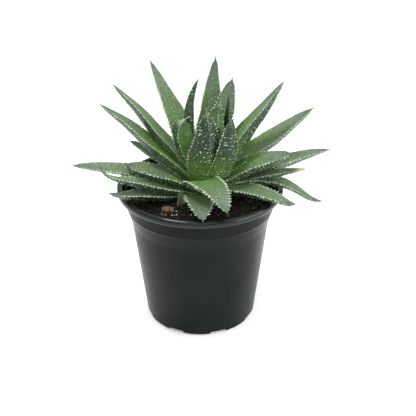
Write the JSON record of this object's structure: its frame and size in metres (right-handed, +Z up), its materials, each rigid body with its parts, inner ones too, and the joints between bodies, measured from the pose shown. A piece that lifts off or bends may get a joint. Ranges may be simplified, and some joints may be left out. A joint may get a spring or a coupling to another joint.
{
  "type": "potted lace aloe",
  "caption": "Rosette of thick, keeled, white-toothed succulent leaves with awned tips, growing in peat mix in a tapered plastic nursery pot that stands on its flat base.",
  "frame": {"origin": "centre of the pot's flat underside", "axes": "+Z up out of the pot; -Y is the front, the side the broad arching leaf points to; +X to the right seen from the front"},
  "size_m": [0.165, 0.1204, 0.1631],
  "materials": {
    "pot_plastic": "satin",
    "peat_mix": "matte",
    "stem": "matte",
    "leaf": "satin",
    "tooth": "satin",
    "awn": "matte",
    "bark": "matte",
    "dry_root": "matte",
    "perlite": "matte"
  },
  "bodies": {
    "root": {"pot": "pot_plastic", "potting_soil": "peat_mix", "stem": "stem", "heart_leaf_center": "leaf", "heart_leaf_back": "leaf", "heart_leaf_back_right": "leaf", "heart_leaf_front": "leaf", "heart_leaf_right": "leaf", "heart_leaf_left": "leaf", "inner_leaf_left": "leaf", "inner_leaf_back": "leaf", "inner_leaf_back_right": "leaf", "inner_leaf_right": "leaf", "middle_leaf_back_left": "leaf", "middle_leaf_left_high": "leaf", "middle_leaf_left_low": "leaf", "middle_leaf_right": "leaf", "middle_leaf_right_low": "leaf", "front_leaf": "leaf", "outer_leaf_left_upper": "leaf", "outer_leaf_left_long": "leaf", "outer_leaf_left_lower": "leaf", "outer_leaf_on_rim": "leaf", "outer_leaf_left_short": "leaf", "outer_leaf_right": "leaf", "outer_leaf_dry_tip": "leaf", "outer_leaf_right_drooping": "leaf", "outer_leaf_front_right": "leaf", "outer_leaf_front": "leaf", "back_leaf_a": "leaf", "back_leaf_b": "leaf", "back_leaf_c": "leaf", "back_leaf_d": "leaf", "back_leaf_e": "leaf", "pup_leaf": "leaf", "bark_chip": "bark", "root_curl": "dry_root"}
  },
  "joints": []
}
